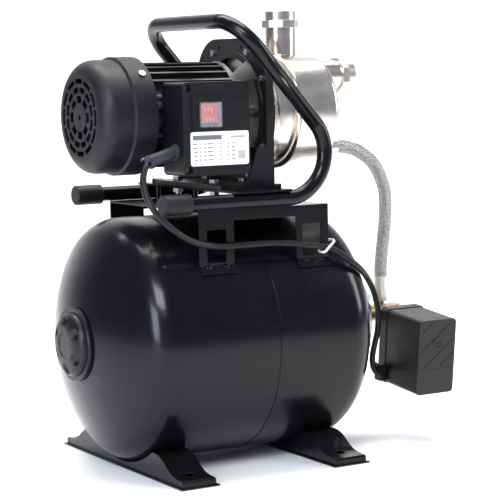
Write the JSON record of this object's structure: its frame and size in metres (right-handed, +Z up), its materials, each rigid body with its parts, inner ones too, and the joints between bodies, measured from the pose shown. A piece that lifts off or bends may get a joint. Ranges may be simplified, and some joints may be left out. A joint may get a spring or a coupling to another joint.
{
  "type": "centrifugal water pump",
  "caption": "Self-priming centrifugal water pump with motor, stainless body, carrying handle and horizontal pressure tank, joined by a braided hose and a pressure switch.",
  "frame": {"origin": "on the floor, at the centre of the feet's four bolt holes", "axes": "+X along the pump shaft from the motor towards the stainless wet end, +Y across the tank away from the terminal box, +Z up"},
  "size_m": [0.4613, 0.298, 0.512],
  "materials": {
    "tank_paint": "gloss black paint",
    "black_paint": "gloss black paint",
    "cast_paint": "satin black paint on a casting",
    "black_plastic": "satin moulded plastic",
    "grey_plastic": "matte moulded plastic",
    "white_plastic": "natural nylon",
    "red_plastic": "translucent red",
    "clear_boot": "clear soft vinyl",
    "label": "printed film",
    "grey_rubber": "soft rubber",
    "cord_rubber": "rubber sheath",
    "black_rubber": "moulded rubber",
    "zinc": "zinc plated",
    "brass": "machined brass",
    "nickel": "nickel plated",
    "stainless": "polished stainless sheet",
    "shaft_steel": "ground",
    "core_steel": "laminated",
    "bearing_steel": "ground",
    "copper": "enamelled copper wire",
    "ceramic": "ceramic",
    "carbon": "carbon",
    "braid": "woven stainless wire"
  },
  "bodies": {
    "frame": {"tank_left_shell": "tank_paint", "tank_right_shell": "tank_paint", "girth_weld": "tank_paint", "bladder": "black_rubber", "water_flange": "zinc", "water_flange_bolts": "zinc", "air_valve": "brass", "left_foot": "black_paint", "right_foot": "black_paint", "saddle_bracket": "black_paint", "handle_frame": "black_paint", "near_rail_cap": "grey_plastic", "far_rail_cap": "grey_plastic", "mounting_plate": "black_paint", "frame_bolts": "black_paint", "motor_foot_bolts": "zinc", "zip_tie": "white_plastic", "motor_housing": "cast_paint", "stator_core": "core_steel", "stator_windings": "copper", "rear_bearing": "bearing_steel", "front_bearing": "bearing_steel", "rear_end_shield": "cast_paint", "fan_cover": "grey_plastic", "fan_cover_screws": "zinc", "terminal_box_base": "black_plastic", "terminal_box_cover": "black_plastic", "cover_screws": "zinc", "capacitor": "white_plastic", "switch_housing": "black_plastic", "switch_boot": "clear_boot", "rating_label": "label", "strain_relief": "grey_rubber", "power_cord": "cord_rubber", "lantern": "cast_paint", "lantern_bolts": "zinc", "body_bolts": "zinc", "seal_plate": "stainless", "seal_seat": "ceramic", "diffuser": "grey_plastic", "ejector": "grey_plastic", "body_o_ring": "black_rubber", "pump_body": "stainless", "outlet_adaptor": "nickel", "inlet_adaptor": "nickel", "hose_fittings": "nickel", "braided_hose": "braid", "five_way_connector": "brass", "connector_fittings": "brass", "pressure_switch_base": "black_plastic", "pressure_switch_cover": "black_plastic", "switch_screw_and_gland": "grey_plastic"},
    "rotor": {"motor_shaft": "shaft_steel", "rotor_core": "core_steel", "cooling_fan": "black_plastic", "impeller": "stainless", "seal_ring": "carbon"},
    "rocker": {"rocker": "red_plastic"},
    "valve_cover": {"valve_cover": "black_plastic"},
    "valve_pin": {"air_valve_pin": "zinc"}
  },
  "joints": [
    {"name": "shaft_spin", "type": "hinge", "parent": "frame", "child": "rotor", "pos_m": [0, 0, 0.39604], "axis": [1, 0, 0], "continuous": true},
    {"name": "rocker_tip", "type": "hinge", "parent": "frame", "child": "rocker", "pos_m": [-0.049, -0.0915, 0.39754], "axis": [1, 0, 0], "range_deg": [0, 20]},
    {"name": "cover_pull", "type": "slide", "parent": "frame", "child": "valve_cover", "axis": [-1, 0, 0], "range_m": [0, 0.03]},
    {"name": "valve_press", "type": "slide", "parent": "frame", "child": "valve_pin", "axis": [1, 0, 0], "range_m": [0, 0.002], "stiffness_N_per_m": 500}
  ]
}
